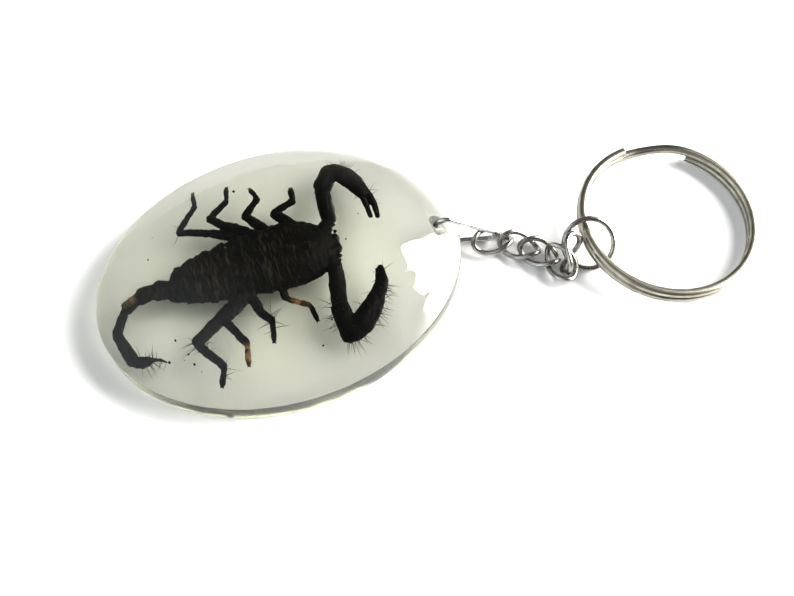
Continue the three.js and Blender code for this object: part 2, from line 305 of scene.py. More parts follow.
# Sizes below are in millimetres from the middle of the specimen. Each back plate has a half
# width, a place along the body and a shift to the side.
PLATES = [(2.1, -12.9, -0.2), (3.3, -11, 0.3), (3.9, -9, 0.5), (4.4, -6.6, 0.55),
          (4.9, -3.9, 0.6), (5.3, -1.2, 0.75), (5.5, 1.6, 0.85), (5.5, 4.2, 0.85)]
TAIL = [(-12.3, 0, 0), (-15.4, 0.7, 0), (-18.2, 0.5, 0.1), (-20.8, -0.7, 0), (-23.1, -4.3, 0),
        (-21.3, -9.6, 0)]
TAIL_THICKNESS = [3.1, 2.7, 2.2, 1.7, 2.1]
TELSON = [(-21.3, -9.8, 0), (-18.4, -10.1, 0.1), (-16.3, -10.9, 0)]
LEGS = [
    ([(8, 4.4, 0), (4.5, 8.3, 0.2), (8, 9.7, 0), (8.1, 11.8, 0)], (1.7, 1.3, 1.0)),
    ([(3.5, 5, 0), (0.2, 9, 0.2), (2.7, 11.6, 0), (1.9, 13.7, 0)], (1.6, 1.25, 0.9)),
    ([(0.6, 5.6, 0), (-2.9, 8, 0), (-5.2, 10.1, 0.2), (-2, 12.6, 0), (-1.6, 15.2, 0)],
     (1.9, 1.5, 1.2, 0.85)),
    ([(-0.6, 5.2, 0), (-5.5, 7.6, 0), (-10.3, 9.2, 0.2), (-7.1, 13.3, 0), (-7.1, 16.3, 0)],
     (1.5, 1.3, 1.1, 0.8)),
    ([(2.9, -3.6, 0), (3.2, -6.1, 0.2), (6.4, -7.9, 0), (6.9, -10.3, 0)], (1.2, 0.85, 0.85)),
    ([(-1.8, -3.8, 0), (-0.9, -7.2, 0), (0.5, -9, 0.2), (-0.1, -11.9, 0)], (1.5, 1.2, 0.9)),
    ([(-2.2, -4.2, 0), (-6.4, -6.9, 0.2), (-4, -11.3, 0), (-4.5, -14.6, 0)], (1.7, 1.25, 0.9)),
    ([(-2.2, -3.9, 0), (-7, -6.6, 0), (-11.3, -9.3, 0.2), (-8, -13.9, 0), (-9.1, -16.8, 0)],
     (2.4, 2.0, 1.4, 1.0)),
]
ARMS = [
    [(10.5, 2.8, 0), (12.6, 4.8, 0), (12.8, 10.6, 0.1), (15, 14.1, 0)],
    [(10.6, -0.8, 0), (11.6, -2.8, 0), (10.7, -9.2, 0.1), (11.1, -13.6, 0)],
]
ARM_THICKNESS = [2.1, 2.6, 3.1]

# How a limb's segment swells along its length, as a share of the way and of its thickness.
THIGH = [(0, 0.75), (0.08, 0.86), (0.3, 1), (0.65, 1), (0.9, 0.94), (1, 0.78)]
SHANK = [(0, 0.74), (0.08, 0.94), (0.3, 1), (0.75, 0.92), (0.93, 0.96), (1, 0.7)]
FOOT = [(0, 0.78), (0.3, 0.9), (0.7, 1), (0.9, 0.86), (1, 0.55)]
BARREL = [(0, 0.66), (0.08, 0.84), (0.3, 0.94), (0.65, 1), (0.86, 1.05), (0.95, 0.96), (1, 0.68)]
STING_BULB = [(0, 0.5), (0.15, 0.8), (0.4, 1), (0.7, 0.9), (0.9, 0.55), (1, 0.34)]


def tube(shape, stations, flatness=1.0, sides=14):
    """A closed tube through stations of place and half thickness, in millimetres."""
    rings = []
    count = len(stations)
    for index, (place, half) in enumerate(stations):
        before = Vector(stations[max(index - 1, 0)][0])
        after = Vector(stations[min(index + 1, count - 1)][0])
        along = (after - before).normalized()
        side = along.cross(Vector((0, 0, 1))).normalized()
        upright = side.cross(along)
        ring = []
        for step in range(sides):
            angle = 2 * math.pi * step / sides
            offset = side * math.cos(angle) + upright * math.sin(angle) * flatness
            ring.append(shape.verts.new(Vector(place) + offset * half))
        rings.append((ring, Vector(place), along, half))
    for (lower, *_), (upper, *_) in zip(rings, rings[1:]):
        for step in range(sides):
            after = (step + 1) % sides
            shape.faces.new((lower[step], lower[after], upper[after], upper[step]))
    for (ring, place, along, half), way in ((rings[0], -0.5), (rings[-1], 0.5)):
        tip = shape.verts.new(place + along * half * way)
        for step in range(sides):
            shape.faces.new((ring[step], ring[(step + 1) % sides], tip))


def limb_segment(shape, start, end, thickness, swelling, flatness=1.0):
    start = Vector(start)
    end = Vector(end)
    lap = (end - start).normalized() * thickness * 0.12
    stations = []
    for way, share in swelling:
        place = (start - lap).lerp(end + lap, way)
        stations.append((place, thickness / 2 * share))
    tube(shape, stations, flatness)


def curved_finger(shape, points, thicknesses):
    """A smooth tapering finger through its points."""
    steps = 12
    stations = []
    first, middle, last = (Vector(point) for point in points)
    for step in range(steps + 1):
        way = step / steps
        place = first * (1 - way) ** 2 + middle * 2 * way * (1 - way) + last * way ** 2
        half = (thicknesses[0] * (1 - way) + thicknesses[1] * way) / 2
        stations.append((place, half))
    tube(shape, stations)


def scorpion_shells():
    """Every part of the specimen as closed shells that run into each other."""
    shape = bmesh.new()
    # Back plates, each overlapping the next like a slate.
    for index in range(len(PLATES) - 1):
        width, start, shift = PLATES[index]
        next_width, end, next_shift = PLATES[index + 1]
        middle = (start + end) / 2
        between = (shift + next_shift) / 2
        stations = [
            ((start - 0.7, shift, 0), width * 0.72),
            ((start - 0.1, shift, 0), width * 0.92),
            ((middle, between, 0.04), (width + next_width) / 2 * 0.98),
            ((end - 0.25, next_shift, 0.1), next_width * 1.01),
            ((end, next_shift, 0.06), next_width * 0.96),
        ]
        tube(shape, stations, BODY_FLATNESS, 40)
    shield = [
        ((3.6, 0.85, 0), 5.2),
        ((4.4, 0.85, 0.1), 5.5),
        ((6.3, 0.8, 0.15), 5.4),
        ((8.6, 0.75, 0.1), 4.9),
        ((10.3, 0.8, 0), 4.0),
        ((11.6, 0.8, -0.05), 3.0),
        ((12.3, 0.8, -0.1), 2.0),
    ]
    tube(shape, shield, BODY_FLATNESS, 40)
    # Raised eye mound, the blunt jaws and the torn mouth parts between the arms.
    tube(shape, [((7.6, 0.8, 1.8), 0.5), ((8.5, 0.8, 2.1), 0.75), ((9.4, 0.8, 1.7), 0.5)], 0.9, 12)
    for side in (-1, 1):
        limb_segment(shape, (11.2, 0.8 + 0.9 * side, 0), (13, 0.8 + 0.8 * side, 0), 1.6, THIGH)
    for x, y, size in ((12.6, -1.5, 0.8), (12.2, 3, 0.9), (13, 2.6, 0.5), (12.9, -0.7, 0.6),
                       (12.1, -2.3, 0.6), (13.1, 3.7, 0.45), (11.4, -3, 0.8), (12.6, -2.2, 0.4)):
        scrap = ((x - size / 2, y, 0.2), size * 0.3), ((x, y + 0.1, 0.3), size * 0.5), (
            (x + size / 2, y + 0.15, 0.1), size * 0.25)
        tube(shape, scrap, 0.8, 8)
    for index, thickness in enumerate(TAIL_THICKNESS):
        limb_segment(shape, TAIL[index], TAIL[index + 1], thickness, BARREL)
    limb_segment(shape, TELSON[0], TELSON[1], 1.9, STING_BULB)
    curved_finger(shape, [(-18.9, -10.1, 0.1), (-17.5, -9.9, 0.2), (-16.2, -11, 0)], (0.95, 0.2))
    for joints, thicknesses in LEGS:
        last = len(joints) - 2
        for index, thickness in enumerate(thicknesses):
            swelling = FOOT if index == last else (THIGH if index == 0 else SHANK)
            limb_segment(shape, joints[index], joints[index + 1], thickness, swelling)
        # Two small hooked claws on the foot.
        foot = Vector(joints[-1])
        along = (foot - Vector(joints[-2])).normalized()
        across = along.cross(Vector((0, 0, 1)))
        for side in (-1, 1):
            bend = foot + along * 0.3 + across * 0.2 * side
            tip = foot + along * 0.4 + across * 0.28 * side + Vector((0, 0, -0.2))
            curved_finger(shape, [foot, bend, tip], (0.34, 0.16))
    for joints in ARMS:
        for index, thickness in enumerate(ARM_THICKNESS):
            swelling = THIGH if index < 2 else SHANK
            limb_segment(shape, joints[index], joints[index + 1], thickness, swelling)
    # The far claw, with a slimmer hand and a narrow gap between its fingers.
    far_hand = [((14.2, 14.5, 0), 1), ((15.3, 14.1, 0), 1.6), ((16.9, 12.7, 0), 1.9),
                ((18, 10.9, 0), 1.75), ((18.7, 9, 0), 1.3), ((19, 7.8, 0), 0.9)]
    tube(shape, far_hand, 0.85)
    curved_finger(shape, [(19.2, 9.2, 0), (20.5, 6.7, 0), (20, 3.7, 0)], (1.4, 0.8))
    curved_finger(shape, [(18.5, 8.8, 0), (18.9, 6.4, 0), (19, 4, 0)], (1.2, 0.7))
    # The near claw, with a broad hand and its fingers shut.
    near_hand = [((10.2, -14.6, 0), 0.8), ((11.3, -13.8, 0), 1.7), ((13.2, -12.7, 0), 1.95),
                 ((15, -11, 0), 1.75), ((16.4, -9.3, 0), 1.4), ((17.2, -8.1, 0), 1)]
    tube(shape, near_hand, 0.8)
    curved_finger(shape, [(16.2, -9.5, 0), (18.6, -7.6, 0), (18.2, -4.4, 0)], (2.3, 0.9))
    curved_finger(shape, [(15.9, -9.1, 0), (17.6, -7.2, 0), (17.7, -4.7, 0)], (1.8, 0.7))
    return shape


def one_skin(shape, voxel):
    """The shells joined in one closed skin."""
    shells = bpy.data.meshes.new("shells")
    bmesh.ops.recalc_face_normals(shape, faces=shape.faces)
    shape.to_mesh(shells)
    shells.transform(Matrix.Scale(MM, 4))
    holder = scratch_object("shells", shells)
    remesh = holder.modifiers.new("skin", "REMESH")
    remesh.mode = "VOXEL"
    remesh.voxel_size = voxel
    return evaluated_mesh(holder)


def grained(mesh):
    """Fine grain and shallow dents of dried skin, pushed along the normals."""
    normals = [vertex.normal.copy() for vertex in mesh.vertices]
    for vertex, normal in zip(mesh.vertices, normals):
        place = vertex.co / MM
        across = Vector((place.x * 2.6, place.y * 0.8, place.z * 0.8))
        grain = noise.noise(place * 1.9) * 0.07 + noise.noise(place * 0.8) * 0.08
        grain += noise.noise(across) * 0.1
        vertex.co += normal * grain * MM


def near(mesh, name, spots):
    """A mask on the mesh that is 1 at the spots and falls to 0 at their reach."""
    mask = mesh.attributes.new(name, "FLOAT", "POINT")
    for index, vertex in enumerate(mesh.vertices):
        place = vertex.co / MM
        most = 0.0
        for spot, reach in spots:
            gap = (place - Vector(spot)).length / reach
            most = max(most, 1 - gap)
        mask.data[index].value = max(most, 0.0)


def cuticle_material():
    material = bpy.data.materials.new("dried black cuticle")
    material.use_nodes = True
    nodes = material.node_tree.nodes
    links = material.node_tree.links
    surface = nodes["Principled BSDF"]
    surface.inputs["Specular IOR Level"].default_value = 0.15
    place = nodes.new("ShaderNodeTexCoord")
    patches = nodes.new("ShaderNodeTexNoise")
    patches.inputs["Scale"].default_value = 800
    patches.inputs["Detail"].default_value = 4
    plate_way = nodes.new("ShaderNodeMapping")
    plate_way.inputs["Scale"].default_value = (4, 0.8, 0.8)
    links.new(place.outputs["Object"], plate_way.inputs["Vector"])
    links.new(plate_way.outputs["Vector"], patches.inputs["Vector"])
    browning = nodes.new("ShaderNodeValToRGB")
    browning.color_ramp.elements[0].position = 0.42
    browning.color_ramp.elements[0].color = (0.002, 0.002, 0.002, 1)
    browning.color_ramp.elements[1].position = 0.68
    browning.color_ramp.elements[1].color = (0.055, 0.042, 0.026, 1)
    barky = nodes.new("ShaderNodeAttribute")
    barky.attribute_name = "barky"
    on_body = nodes.new("ShaderNodeMath")
    on_body.operation = "MULTIPLY"
    links.new(patches.outputs["Fac"], on_body.inputs[0])
    links.new(barky.outputs["Fac"], on_body.inputs[1])
    links.new(on_body.outputs["Value"], browning.inputs["Fac"])
    amber = nodes.new("ShaderNodeAttribute")
    amber.attribute_name = "amber"
    blotches = nodes.new("ShaderNodeTexNoise")
    blotches.inputs["Scale"].default_value = 1500
    links.new(place.outputs["Object"], blotches.inputs["Vector"])
    broken = nodes.new("ShaderNodeMapRange")
    broken.inputs["From Min"].default_value = 0.35
    broken.inputs["From Max"].default_value = 0.6
    broken.inputs["To Min"].default_value = 0.3
    broken.inputs["To Max"].default_value = 1.6
    links.new(blotches.outputs["Fac"], broken.inputs["Value"])
    worn_through = nodes.new("ShaderNodeMath")
    worn_through.operation = "MULTIPLY"
    worn_through.use_clamp = True
    links.new(amber.outputs["Fac"], worn_through.inputs[0])
    links.new(broken.outputs["Result"], worn_through.inputs[1])
    mix = nodes.new("ShaderNodeMix")
    mix.data_type = "RGBA"
    links.new(worn_through.outputs["Value"], mix.inputs["Factor"])
    links.new(browning.outputs["Color"], mix.inputs["A"])
    mix.inputs["B"].default_value = (0.26, 0.15, 0.08, 1)
    links.new(mix.outputs["Result"], surface.inputs["Base Color"])
    rough = nodes.new("ShaderNodeMapRange")
    rough.inputs["To Min"].default_value = 0.35
    rough.inputs["To Max"].default_value = 0.7
    links.new(patches.outputs["Fac"], rough.inputs["Value"])
    links.new(rough.outputs["Result"], surface.inputs["Roughness"])
    return material


# Where the skin has worn through to amber, where it is ridged like bark, and where hairs grow,
# each as a place and how far it reaches.
AMBER_SPOTS = [
    ((-19.9, 0.4, 0.6), 1.5),
    ((-20.6, -0.2, 0.6), 1.0),
    ((-4.1, -12.2, 0), 1.3),
    ((-4.4, -13.6, 0), 1.5),
    ((4.8, -7, 0.2), 1.5),
    ((5.8, -7.6, 0.2), 1.3),
    ((8.1, 12.2, 0), 0.7),
    ((1.8, 14.1, 0), 0.7),
    ((-1.6, 15.6, 0), 0.6),
    ((-7.1, 16.8, 0), 0.7),
]
BARKY_SPOTS = [((-7, 0.5, 0), 24), ((3, 0.8, 0), 26), ((-15, 0.5, 0), 12)]
HAIRY_SPOTS = [
    ((18.4, -7.4, 0), 3.6),
    ((15.8, -12, 0), 3),
    ((12.2, -15, 0), 2.4),
    ((-18, -10.1, 0), 3.2),
    ((9.5, -10, 0), 2.6),
    ((17, 14.6, 0), 3.2),
    ((19.8, 8, 0), 2.2),
    ((-11, -9.5, 0), 2.0),
    ((-8.5, -14.5, 0), 1.6),
    ((-10.4, 9.2, 0), 1.4),
    ((0.3, -9, 0), 1.6),
    ((12.9, 11, 0), 1.6),
]
skin = one_skin(scorpion_shells(), SKIN_VOXEL)
grained(skin)
near(skin, "amber", AMBER_SPOTS)
near(skin, "barky", BARKY_SPOTS)
near(skin, "hairy", HAIRY_SPOTS)
skin.transform(in_specimen)
smooth(skin, 60)
scorpion = new_piece("scorpion_specimen", skin, cuticle_material())
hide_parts("scorpion")


# The bristles
# Stiff dark hairs that stand out from the claws, the sting and the leg joints, each a fine
# tapering thorn of the same cuticle.
BRISTLE_RADIUS = 0.05 * MM
BRISTLE_LENGTH = 2.5 * MM
BRISTLES_PER_AREA = 3 / MM / MM


def bristle_tree():
    tree = bpy.data.node_groups.new("bristles", "GeometryNodeTree")
    face = tree.interface
    face.new_socket("Geometry", in_out="INPUT", socket_type="NodeSocketGeometry")
    face.new_socket("Radius", in_out="INPUT", socket_type="NodeSocketFloat")
    face.new_socket("Length", in_out="INPUT", socket_type="NodeSocketFloat")
    face.new_socket("Density", in_out="INPUT", socket_type="NodeSocketFloat")
    face.new_socket("Material", in_out="INPUT", socket_type="NodeSocketMaterial")
    face.new_socket("Geometry", in_out="OUTPUT", socket_type="NodeSocketGeometry")
    nodes = tree.nodes
    links = tree.links
    given = nodes.new("NodeGroupInput")
    made = nodes.new("NodeGroupOutput")
    hairy = nodes.new("GeometryNodeInputNamedAttribute")
    hairy.data_type = "FLOAT"
    hairy.inputs["Name"].default_value = "hairy"
    where = nodes.new("ShaderNodeMath")
    where.operation = "MULTIPLY"
    links.new(hairy.outputs["Attribute"], where.inputs[0])
    links.new(given.outputs["Density"], where.inputs[1])
    scatter = nodes.new("GeometryNodeDistributePointsOnFaces")
    scatter.inputs["Seed"].default_value = 4
    links.new(given.outputs["Geometry"], scatter.inputs["Mesh"])
    links.new(where.outputs["Value"], scatter.inputs["Density"])
    thorn = nodes.new("GeometryNodeMeshCone")
    thorn.inputs["Vertices"].default_value = 4
    thorn.inputs["Radius Top"].default_value = 0
    links.new(given.outputs["Radius"], thorn.inputs["Radius Bottom"])
    links.new(given.outputs["Length"], thorn.inputs["Depth"])
    lean = nodes.new("FunctionNodeRandomValue")
    lean.data_type = "FLOAT_VECTOR"
    lean.inputs["Min"].default_value = (-0.5, -0.5, 0)
    lean.inputs["Max"].default_value = (0.5, 0.5, 6)
    lean.inputs["Seed"].default_value = 7
    turned = nodes.new("FunctionNodeRotateRotation")
    turned.rotation_space = "LOCAL"
    links.new(scatter.outputs["Rotation"], turned.inputs["Rotation"])
    links.new(lean.outputs["Value"], turned.inputs["Rotate By"])
    size = nodes.new("FunctionNodeRandomValue")
    size.data_type = "FLOAT_VECTOR"
    size.inputs["Min"].default_value = (0.6, 0.6, 0.35)
    size.inputs["Max"].default_value = (1, 1, 1.3)
    size.inputs["Seed"].default_value = 9
    stand = nodes.new("GeometryNodeInstanceOnPoints")
    links.new(scatter.outputs["Points"], stand.inputs["Points"])
    links.new(thorn.outputs["Mesh"], stand.inputs["Instance"])
    links.new(turned.outputs["Rotation"], stand.inputs["Rotation"])
    links.new(size.outputs["Value"], stand.inputs["Scale"])
    realize = nodes.new("GeometryNodeRealizeInstances")
    links.new(stand.outputs["Instances"], realize.inputs["Geometry"])
    finish = nodes.new("GeometryNodeSetMaterial")
    links.new(realize.outputs["Geometry"], finish.inputs["Geometry"])
    links.new(given.outputs["Material"], finish.inputs["Material"])
    links.new(finish.outputs["Geometry"], made.inputs["Geometry"])
    return tree


def socket_id(tree, name):
    for item in tree.interface.items_tree:
        if item.name == name and item.in_out == "INPUT":
            return item.identifier
    raise KeyError(name)


def grown(tree, base_mesh, values):
    """The plain mesh that a Geometry Nodes tree makes from a base mesh and named values."""
    holder = scratch_object(tree.name, base_mesh)
    growth = holder.modifiers.new(tree.name, "NODES")
    growth.node_group = tree
    for name, value in values.items():
        growth[socket_id(tree, name)] = value
    return evaluated_mesh(holder)


bristle_material = cuticle_material()
bristle_material.name = "dark bristle"
bristle_mesh = grown(
    bristle_tree(),
    skin.copy(),
    {
        "Radius": BRISTLE_RADIUS,
        "Length": BRISTLE_LENGTH,
        "Density": BRISTLES_PER_AREA,
        "Material": bristle_material,
    },
)
new_piece("bristles", bristle_mesh, bristle_material)


# The specks in the resin
# Crumbs of dried skin and dust that came off the specimen while the resin was poured. They
# float about it, level with the legs.
SPECKS = [
    (-14.6, 9.9), (-15.8, 6.2), (-0.6, 14.1), (17.2, 5.1), (14.3, 1.0), (-12.3, -12.5),
    (-11.5, -13.8), (-12.8, -10.4), (-14.2, -8.1), (8.5, -12.4), (6.8, -14.6), (-15.9, -10.9),
    (-13.6, -11.6), (9, -11),
]


def speck_mesh():
    shape = bmesh.new()
    for index, (x, y) in enumerate(SPECKS):
        size = (0.1 + 0.07 * (index % 3)) * MM
        place = Matrix.Translation((x * MM, y * MM, (0.6 - 0.3 * (index % 4)) * MM))
        squash = Matrix.Diagonal((1, 0.6 + 0.1 * (index % 4), 0.5, 1))
        bmesh.ops.create_icosphere(
            shape,
            subdivisions=2,
            radius=size,
            matrix=place @ Matrix.Rotation(index, 4, "Z") @ squash,
        )
    mesh = bpy.data.meshes.new("specks")
    shape.to_mesh(mesh)
    mesh.transform(in_specimen)
    mesh.shade_smooth()
    return mesh


new_piece("resin_specks", speck_mesh(), bristle_material)


# The wire ring in the hole
# Bright nickel wire bent to a ring with rounded corners and its ends butted. It goes down the
# hole and under the rim, and its narrow end holds the first chain link.
HOLE_RING_WIRE = 0.9 * MM
HOLE_RING_TURN = math.radians(-15.8)
HOLE_RING_CORNERS = [(8.6, 2.1, 1.3), (1.5, 5.8, 1.6), (1.5, 2.05, 1.6)]


def metal_material(name, tone, dark, roughness, wear):
    """Plated metal, uneven with tarnish and with fine rubbing marks from use."""
    material = bpy.data.materials.new(name)
    material.use_nodes = True
    nodes = material.node_tree.nodes
    links = material.node_tree.links
    surface = nodes["Principled BSDF"]
    surface.inputs["Metallic"].default_value = 1
    place = nodes.new("ShaderNodeTexCoord")
    tarnish = nodes.new("ShaderNodeTexNoise")
    tarnish.inputs["Scale"].default_value = 500
    tarnish.inputs["Detail"].default_value = 5
    links.new(place.outputs["Object"], tarnish.inputs["Vector"])
    tint = nodes.new("ShaderNodeValToRGB")
    tint.color_ramp.elements[0].position = 0.3
    tint.color_ramp.elements[0].color = dark + (1,)
    tint.color_ramp.elements[1].position = 0.65
    tint.color_ramp.elements[1].color = tone + (1,)
    links.new(tarnish.outputs["Fac"], tint.inputs["Fac"])
    links.new(tint.outputs["Color"], surface.inputs["Base Color"])
    marks = placed_marks(nodes, 350, 10, wear)
    spread = nodes.new("ShaderNodeMapRange")
    spread.inputs["To Min"].default_value = roughness * 1.3
    spread.inputs["To Max"].default_value = roughness * 0.7
    links.new(tarnish.outputs["Fac"], spread.inputs["Value"])
    rubbed = nodes.new("ShaderNodeMath")
    rubbed.operation = "MULTIPLY_ADD"
    rubbed.inputs[1].default_value = 0.25
    links.new(marks.outputs["Mask"], rubbed.inputs[0])
    links.new(spread.outputs["Result"], rubbed.inputs[2])
    links.new(rubbed.outputs["Value"], surface.inputs["Roughness"])
    relief = nodes.new("ShaderNodeBump")
    relief.inputs["Strength"].default_value = 0.12
    relief.inputs["Distance"].default_value = 0.00001
    links.new(marks.outputs["Height"], relief.inputs["Height"])
    links.new(relief.outputs["Normal"], surface.inputs["Normal"])
    return material


def closed_wire(points, wire, sides=20):
    """A closed round wire through the points of a flat closed outline, in the XY plane."""
    shape = bmesh.new()
    count = len(points)
    rings = []
    for index, (x, y) in enumerate(points):
        before = points[index - 1]
        after = points[(index + 1) % count]
        along = Vector((after[0] - before[0], after[1] - before[1], 0)).normalized()
        outward = Vector((along.y, -along.x, 0))
        ring = []
        for step in range(sides):
            angle = 2 * math.pi * step / sides
            offset = outward * math.cos(angle) + Vector((0, 0, 1)) * math.sin(angle)
            ring.append(shape.verts.new(Vector((x, y, 0)) + offset * wire / 2))
        rings.append(ring)
    for index in range(count):
        here = rings[index]
        following = rings[(index + 1) % count]
        for step in range(sides):
            after = (step + 1) % sides
            shape.faces.new((here[step], here[after], following[after], following[step]))
    bmesh.ops.recalc_face_normals(shape, faces=shape.faces)
    mesh = bpy.data.meshes.new("wire")
    shape.to_mesh(mesh)
    mesh.shade_smooth()
    return mesh


def rounded_outline(corners, arc_steps, side_steps):
    """Points round three rounded corners joined by straight sides, in metres."""
    count = len(corners)
    leaving = []
    for index, (x, y, radius) in enumerate(corners):
        next_x, next_y, next_radius = corners[(index + 1) % count]
        gap = math.hypot(next_x - x, next_y - y)
        heading = math.atan2(next_y - y, next_x - x)
        leaving.append(heading - math.pi / 2 + math.asin((next_radius - radius) / gap))
    points = []
    for index, (x, y, radius) in enumerate(corners):
        start = leaving[index - 1]
        sweep = (leaving[index] - start) % (2 * math.pi)
        for step in range(arc_steps + 1):
            angle = start + sweep * step / arc_steps
            points.append((x + radius * math.cos(angle), y + radius * math.sin(angle)))
        next_x, next_y, next_radius = corners[(index + 1) % count]
        end_x = next_x + next_radius * math.cos(leaving[index])
        end_y = next_y + next_radius * math.sin(leaving[index])
        start_x, start_y = points[-1]
        for step in range(1, side_steps):
            way = step / side_steps
            points.append((start_x + (end_x - start_x) * way, start_y + (end_y - start_y) * way))
    return [(x * MM, y * MM) for x, y in points]


bright_nickel = metal_material("bright nickel", (0.66, 0.66, 0.65), (0.42, 0.42, 0.41), 0.22, 0.3)
hole_ring_mesh = closed_wire(rounded_outline(HOLE_RING_CORNERS, 16, 8), HOLE_RING_WIRE)
hole_ring_mesh.transform(
    Matrix.Translation((HOLE_PLACE[0], HOLE_PLACE[1], table_height))
    @ Matrix.Rotation(HOLE_RING_TURN, 4, "Z")
    @ Matrix.Rotation(math.pi / 2, 4, "X")
)
hole_ring = new_piece("hole_ring_wire", hole_ring_mesh, bright_nickel, "hole_ring")
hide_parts("hole_ring")


# The curb chain
# Five oval links of drawn wire, each twisted a quarter turn along its length so that the
# chain lies flat. The last one is turned across and hooked round the jump ring.
LINK_WIRE = 0.92 * MM
LINK_LENGTH = 7.5 * MM
LINK_WIDTH = 5.2 * MM
LINK_TWIST = math.radians(-46)
LINKS = [
    ((34.66, -4.5, 1.7), -4.8, -11.4, 2.7),
    ((38.63, -6.7, 1.6), -33.4, -6.1, 8.8),
    ((41.2, -8.99, 1.65), -40.9, -3.7, 13.9),
    ((43.64, -11.99, 2.08), -75.8, -12, 33.3),
    ((45.48, -11.41, 2.92), 55.4, 32.3, -100.1),
]


def link_tree():
    tree = bpy.data.node_groups.new("curb link", "GeometryNodeTree")
    face = tree.interface
    face.new_socket("Geometry", in_out="INPUT", socket_type="NodeSocketGeometry")
    for name in ("Half Length", "Half Width", "Wire Radius", "Twist"):
        face.new_socket(name, in_out="INPUT", socket_type="NodeSocketFloat")
    face.new_socket("Place", in_out="INPUT", socket_type="NodeSocketVector")
    face.new_socket("Turn", in_out="INPUT", socket_type="NodeSocketVector")
    face.new_socket("Material", in_out="INPUT", socket_type="NodeSocketMaterial")
    face.new_socket("Geometry", in_out="OUTPUT", socket_type="NodeSocketGeometry")
    nodes = tree.nodes
    links = tree.links
    given = nodes.new("NodeGroupInput")
    made = nodes.new("NodeGroupOutput")
    circle = nodes.new("GeometryNodeCurvePrimitiveCircle")
    circle.inputs["Resolution"].default_value = 72
    circle.inputs["Radius"].default_value = 1
    oval = nodes.new("ShaderNodeCombineXYZ")
    links.new(given.outputs["Half Length"], oval.inputs["X"])
    links.new(given.outputs["Half Width"], oval.inputs["Y"])
    oval.inputs["Z"].default_value = 1
    stretch = nodes.new("GeometryNodeTransform")
    links.new(circle.outputs["Curve"], stretch.inputs["Geometry"])
    links.new(oval.outputs["Vector"], stretch.inputs["Scale"])
    section = nodes.new("GeometryNodeCurvePrimitiveCircle")
    section.inputs["Resolution"].default_value = 18
    links.new(given.outputs["Wire Radius"], section.inputs["Radius"])
    wire = nodes.new("GeometryNodeCurveToMesh")
    links.new(stretch.outputs["Geometry"], wire.inputs["Curve"])
    links.new(section.outputs["Curve"], wire.inputs["Profile Curve"])
    where = nodes.new("GeometryNodeInputPosition")
    parts = nodes.new("ShaderNodeSeparateXYZ")
    links.new(where.outputs["Position"], parts.inputs["Vector"])
    share = nodes.new("ShaderNodeMath")
    share.operation = "DIVIDE"
    links.new(parts.outputs["X"], share.inputs[0])
    links.new(given.outputs["Half Length"], share.inputs[1])
    angle = nodes.new("ShaderNodeMath")
    angle.operation = "MULTIPLY"
    links.new(share.outputs["Value"], angle.inputs[0])
    links.new(given.outputs["Twist"], angle.inputs[1])
    twist = nodes.new("ShaderNodeVectorRotate")
    twist.rotation_type = "X_AXIS"
    links.new(where.outputs["Position"], twist.inputs["Vector"])
    links.new(angle.outputs["Value"], twist.inputs["Angle"])
    bend = nodes.new("GeometryNodeSetPosition")
    links.new(wire.outputs["Mesh"], bend.inputs["Geometry"])
    links.new(twist.outputs["Vector"], bend.inputs["Position"])
    lie = nodes.new("GeometryNodeTransform")
    links.new(bend.outputs["Geometry"], lie.inputs["Geometry"])
    links.new(given.outputs["Place"], lie.inputs["Translation"])
    links.new(given.outputs["Turn"], lie.inputs["Rotation"])
    realize = nodes.new("GeometryNodeRealizeInstances")
    links.new(lie.outputs["Geometry"], realize.inputs["Geometry"])
    finish = nodes.new("GeometryNodeSetMaterial")
    links.new(realize.outputs["Geometry"], finish.inputs["Geometry"])
    links.new(given.outputs["Material"], finish.inputs["Material"])
    links.new(finish.outputs["Geometry"], made.inputs["Geometry"])
    return tree


def outward(mesh):
    """Faces turned to point out of a closed mesh."""
    shape = bmesh.new()
    shape.from_mesh(mesh)
    bmesh.ops.recalc_face_normals(shape, faces=shape.faces)
    shape.to_mesh(mesh)
    shape.free()
    mesh.shade_smooth()


chain_nickel = metal_material("chain nickel", (0.5, 0.49, 0.47), (0.24, 0.23, 0.22), 0.26, 0.4)
curb_link = link_tree()
for index, (place, turn, nose, roll) in enumerate(LINKS):
    x, y, z = (value * MM for value in place)
    link_mesh = grown(
        curb_link,
        bpy.data.meshes.new("link start"),
        {
            "Half Length": (LINK_LENGTH - LINK_WIRE) / 2,
            "Half Width": (LINK_WIDTH - LINK_WIRE) / 2,
            "Wire Radius": LINK_WIRE / 2,
            "Twist": LINK_TWIST,
            "Place": (x, y, z + table_height),
            "Turn": (math.radians(roll), -math.radians(nose), math.radians(turn)),
            "Material": chain_nickel,
        },
    )
    outward(link_mesh)
    node = f"chain_link_{index + 1}"
    link = new_piece(f"curb_link_{index + 1}", link_mesh, chain_nickel, node)
    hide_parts(node)


# The jump ring
# A round ring of nickel wire with its ends butted together, which leans back and joins the
# last link to the split ring.
JUMP_RING_DIAMETER = 9.1 * MM
JUMP_RING_WIRE = 0.9 * MM
JUMP_RING_PLACE = (49.06, -10.77, 2.93)
JUMP_RING_TURN = (math.radians(35.8), 0, math.radians(-14.5))
JUMP_RING_STEPS = 120

